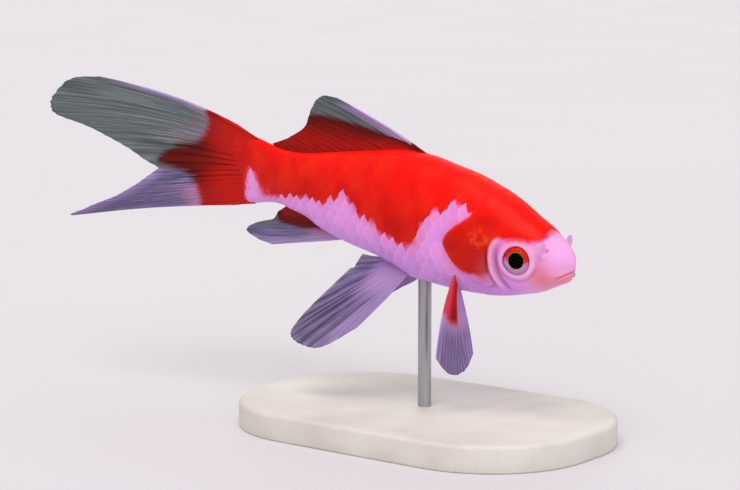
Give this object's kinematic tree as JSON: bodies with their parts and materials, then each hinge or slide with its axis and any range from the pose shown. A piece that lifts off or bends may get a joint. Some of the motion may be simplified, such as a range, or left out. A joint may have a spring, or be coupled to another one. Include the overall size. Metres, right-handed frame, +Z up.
{
  "type": "goldfish",
  "caption": "Life-size comet goldfish in scarlet and pearl white, swimming with its tail fin spread, held over a flat stone base by a thin steel rod.",
  "frame": {"origin": "centre of the underside of the stand's base", "axes": "+X is the way the fish's trunk heads, +Y is the fish's left, +Z is up"},
  "size_m": [0.1565, 0.056, 0.0763],
  "materials": {
    "skin_red": "wet scaled skin, saturated scarlet",
    "skin_pearl": "wet bare skin, pale pinkish pearl",
    "eye": "clear glossy cornea over a black pupil and a red and pearl iris",
    "fin": "thin translucent membrane with fine bony rays, red at the roots",
    "stand_stone": "honed pale limestone",
    "stand_steel": "brushed stainless steel"
  },
  "bodies": {
    "root": {"head": "skin_red", "lower_jaw": "skin_pearl", "gill_cover_left": "skin_red", "gill_cover_right": "skin_red", "nostril_flap_left": "skin_pearl", "nostril_flap_right": "skin_pearl", "eye_left": "eye", "eye_right": "eye", "trunk": "skin_red", "tail_stalk": "skin_red", "dorsal_fin": "fin", "anal_fin": "fin", "pelvic_fin_left": "fin", "pelvic_fin_right": "fin", "pectoral_fin_left": "fin", "pectoral_fin_right": "fin", "tail_fin_upper": "fin", "tail_fin_lower": "fin", "stand_base": "stand_stone", "stand_rod": "stand_steel"}
  },
  "joints": []
}
